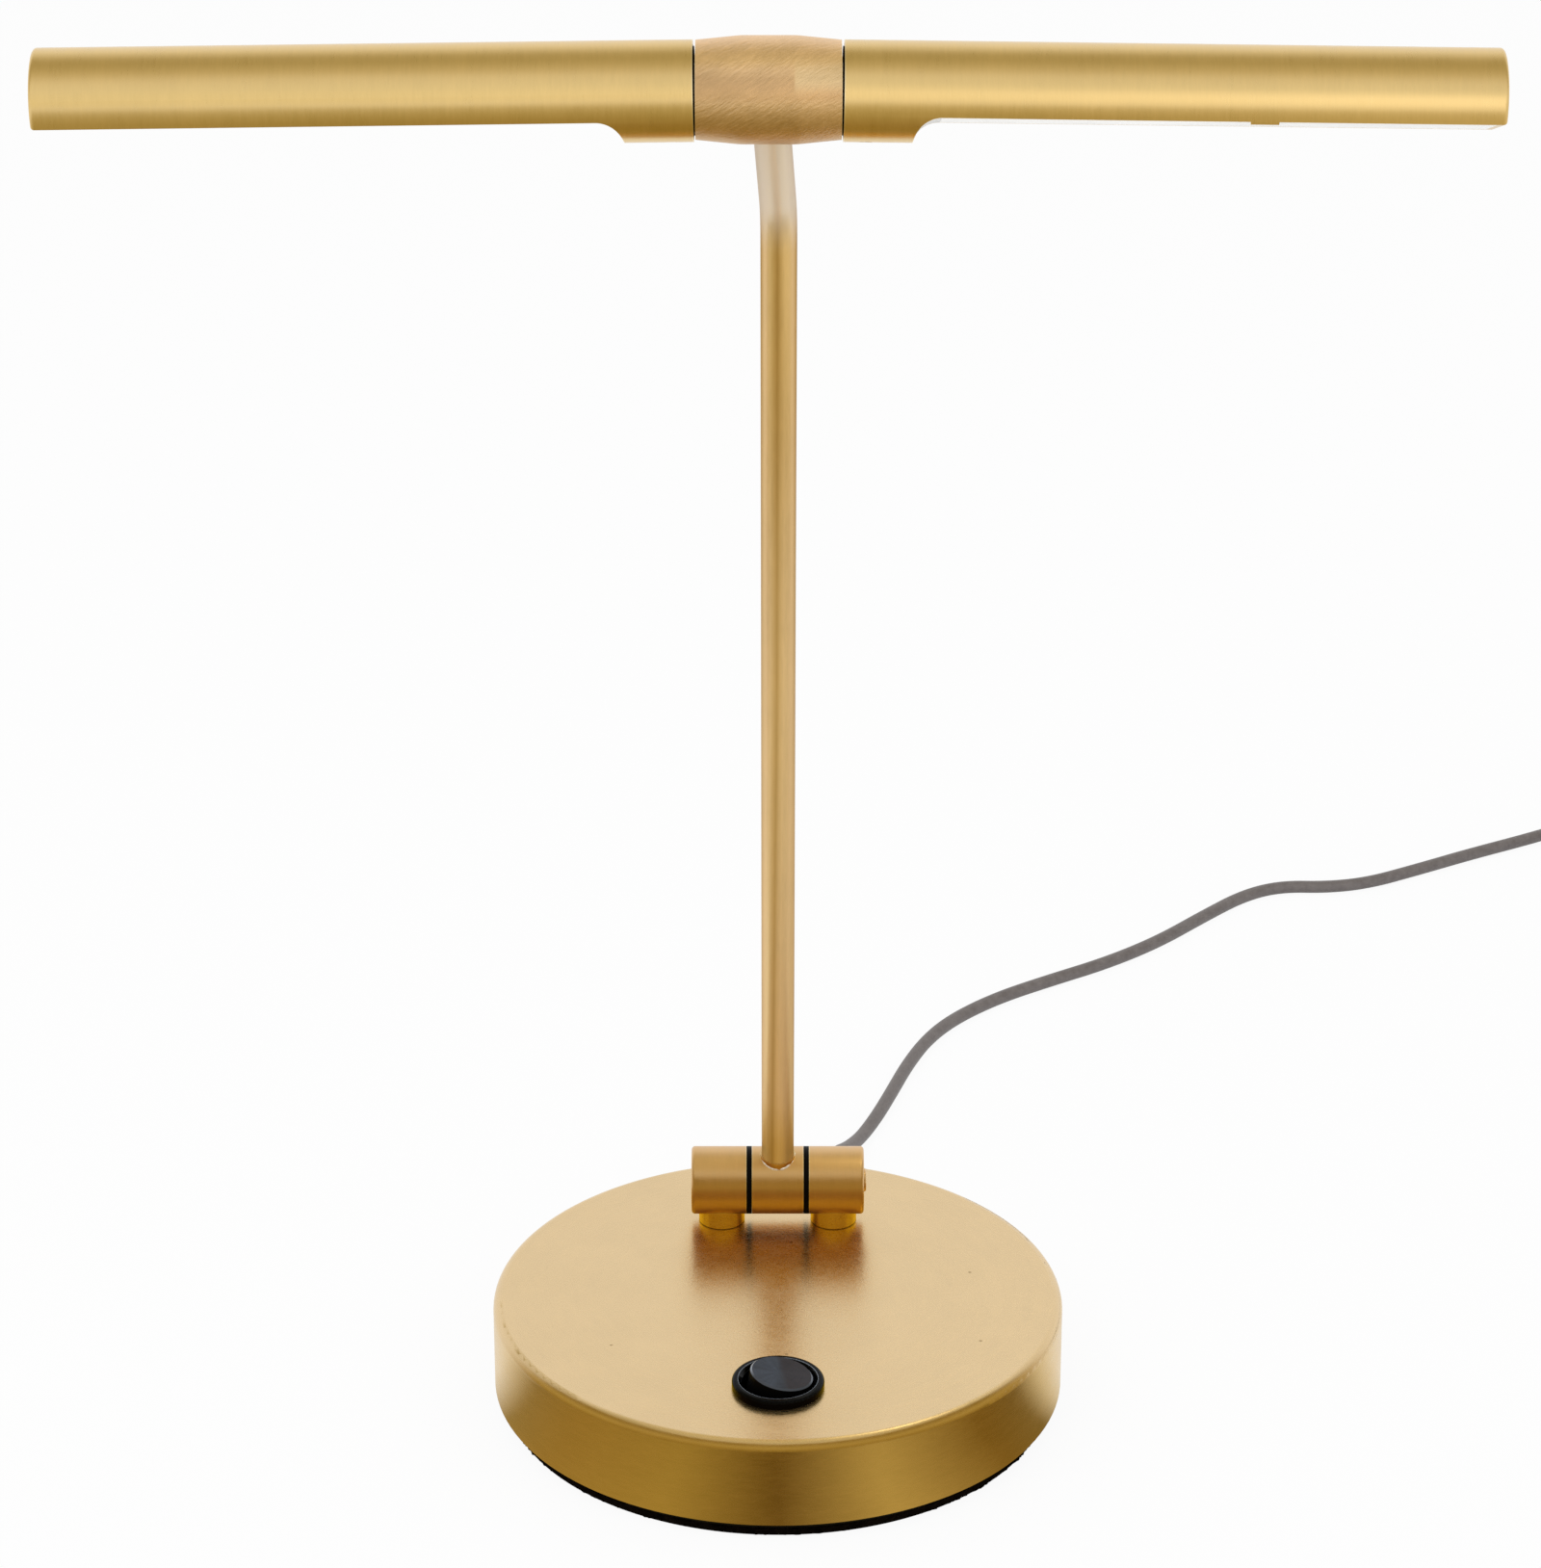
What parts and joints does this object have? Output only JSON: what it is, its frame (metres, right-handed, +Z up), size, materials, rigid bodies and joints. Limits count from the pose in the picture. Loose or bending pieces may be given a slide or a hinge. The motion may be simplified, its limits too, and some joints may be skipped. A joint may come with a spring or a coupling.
{
  "type": "piano lamp",
  "caption": "Desk lamp for a piano: a heavy round foot with a rocker switch, a bent arm on a friction hinge, and two turning light tubes on a hub.",
  "frame": {"origin": "middle of the round foot, on the underside of its felt, where it meets the table", "axes": "+Z up, +X to the right seen from the switch's side, +Y to the back, where the cord leaves"},
  "size_m": [0.5019, 0.448, 0.3833],
  "materials": {
    "aluminium": "extruded",
    "black_metal": "satin",
    "black_plastic": "gloss",
    "black_washer": "matte",
    "board": "laminate",
    "brass": "satin brushed",
    "brass_pink": "brushed",
    "cast": "raw",
    "copper": "tinned",
    "cord_grey": "satin",
    "diffuser": "opal",
    "felt": "felt",
    "led": "phosphor",
    "plug_black": "fine texture",
    "steel": "plain",
    "white_plastic": "moulded"
  },
  "bodies": {
    "foot": {"base_shell": "brass", "ballast_disc": "cast", "bottom_plate": "black_metal", "base_screws": "steel", "felt_pad": "felt", "switch_housing": "black_plastic", "switch_nut": "black_plastic", "switch_contact": "copper", "switch_terminals": "copper", "board_posts": "copper", "driver_board": "board", "driver_parts": "plug_black", "hinge_post_left": "brass_pink", "hinge_post_right": "brass_pink", "hinge_barrel_left": "brass_pink", "hinge_barrel_right": "brass_pink", "friction_washer_left": "black_washer", "friction_washer_right": "black_washer", "post_washers": "steel", "post_nuts": "steel", "hinge_sleeve": "steel", "hinge_bolt": "steel", "hinge_spring_washer": "steel", "cord_gland": "plug_black", "gland_clip": "steel", "power_cord": "cord_grey", "cord_coil": "cord_grey", "cord_tail": "cord_grey", "adapter_body": "plug_black", "adapter_pins": "steel"},
    "rocker": {"switch_rocker": "black_plastic", "switch_plunger": "copper", "switch_spring": "steel"},
    "arm": {"arm_knuckle": "brass_pink", "arm_tube": "brass", "arm_cable": "cord_grey", "hub": "brass_pink", "hub_spindle_left": "steel", "hub_spindle_right": "steel", "glide_washer_left": "black_washer", "glide_washer_right": "black_washer"},
    "light_left": {"light_tube_left": "brass", "pivot_socket_left": "white_plastic", "light_screw_left": "steel", "led_carrier_left": "aluminium", "led_board_left": "board", "led_chips_left": "led", "diffuser_left": "diffuser", "end_cap_left": "brass"},
    "light_right": {"light_tube_right": "brass", "pivot_socket_right": "white_plastic", "light_screw_right": "steel", "led_carrier_right": "aluminium", "led_board_right": "board", "led_chips_right": "led", "diffuser_right": "diffuser", "end_cap_right": "brass"}
  },
  "joints": [
    {"name": "arm_tilt", "type": "hinge", "parent": "foot", "child": "arm", "pos_m": [0, 0.0402, 0.0401], "axis": [1, 0, 0], "range_deg": [-75, 50]},
    {"name": "switch_rock", "type": "hinge", "parent": "foot", "child": "rocker", "pos_m": [0, -0.0462, 0.0268], "axis": [0, 1, 0], "range_deg": [-20, 0]},
    {"name": "light_turn_left", "type": "hinge", "parent": "arm", "child": "light_left", "pos_m": [-0.00233, -0.06797, 0.37137], "axis": [-0.9999, 0, -0.0131], "range_deg": [-120, 120]},
    {"name": "light_turn_right", "type": "hinge", "parent": "arm", "child": "light_right", "pos_m": [-0.00233, -0.06797, 0.37137], "axis": [0.9999, 0, -0.0131], "range_deg": [-120, 120]}
  ]
}
